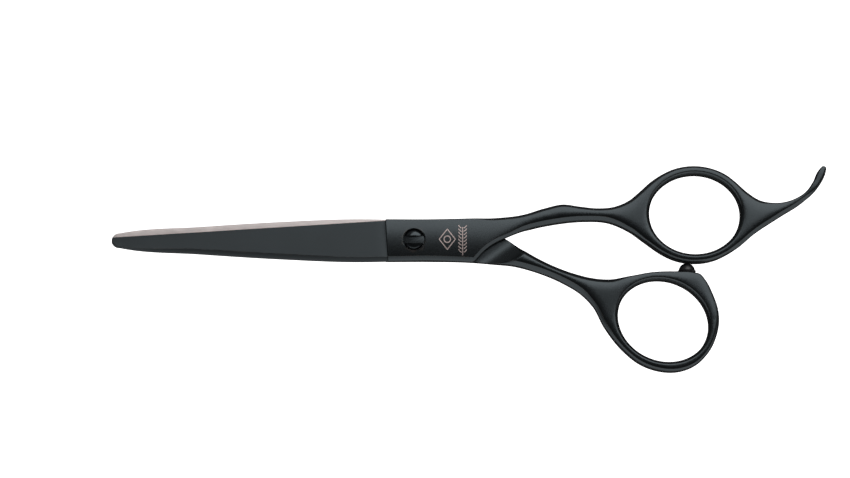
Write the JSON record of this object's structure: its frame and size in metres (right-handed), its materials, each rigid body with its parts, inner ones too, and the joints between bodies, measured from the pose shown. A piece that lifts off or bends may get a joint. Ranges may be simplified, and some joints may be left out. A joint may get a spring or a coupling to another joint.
{
  "type": "hair cutting shears",
  "caption": "Black-coated hair cutting shears with offset finger rings, a slotted pivot screw, a rubber stop and a fixed finger rest, shown closed.",
  "frame": {"origin": "on the pivot axis, in the plane that the closed shears rest on, at the screw's rear end", "axes": "+X from the pivot towards the handles, +Z along the pivot axis towards the screw head, +Y towards the finger ring's side"},
  "size_m": [0.1874, 0.0543, 0.0053],
  "materials": {
    "black_coating": "satin black coating over stainless steel",
    "bare_steel": "ground stainless steel",
    "bush_bronze": "machined bearing bronze",
    "washer_plastic": "low-friction polymer",
    "bumper_rubber": "smooth black rubber"
  },
  "bodies": {
    "thumb_side": {"thumb_half": "black_coating", "pivot_nut": "bare_steel", "bumper": "bumper_rubber", "bumper_stud": "bare_steel"},
    "finger_side": {"finger_half": "black_coating", "pivot_bush": "bush_bronze", "friction_washer": "washer_plastic", "wave_washer": "bare_steel"},
    "tension_screw": {"pivot_screw": "black_coating"}
  },
  "joints": [
    {"name": "blade_pivot", "type": "hinge", "parent": "thumb_side", "child": "finger_side", "pos_m": [0, 0, 0.0026], "axis": [0, 0, 1], "range_deg": [0, 140]},
    {"name": "tension_adjust", "type": "hinge", "parent": "thumb_side", "child": "tension_screw", "pos_m": [0, 0, 0.0026], "axis": [0, 0, 1], "range_deg": [-45, 180]}
  ]
}
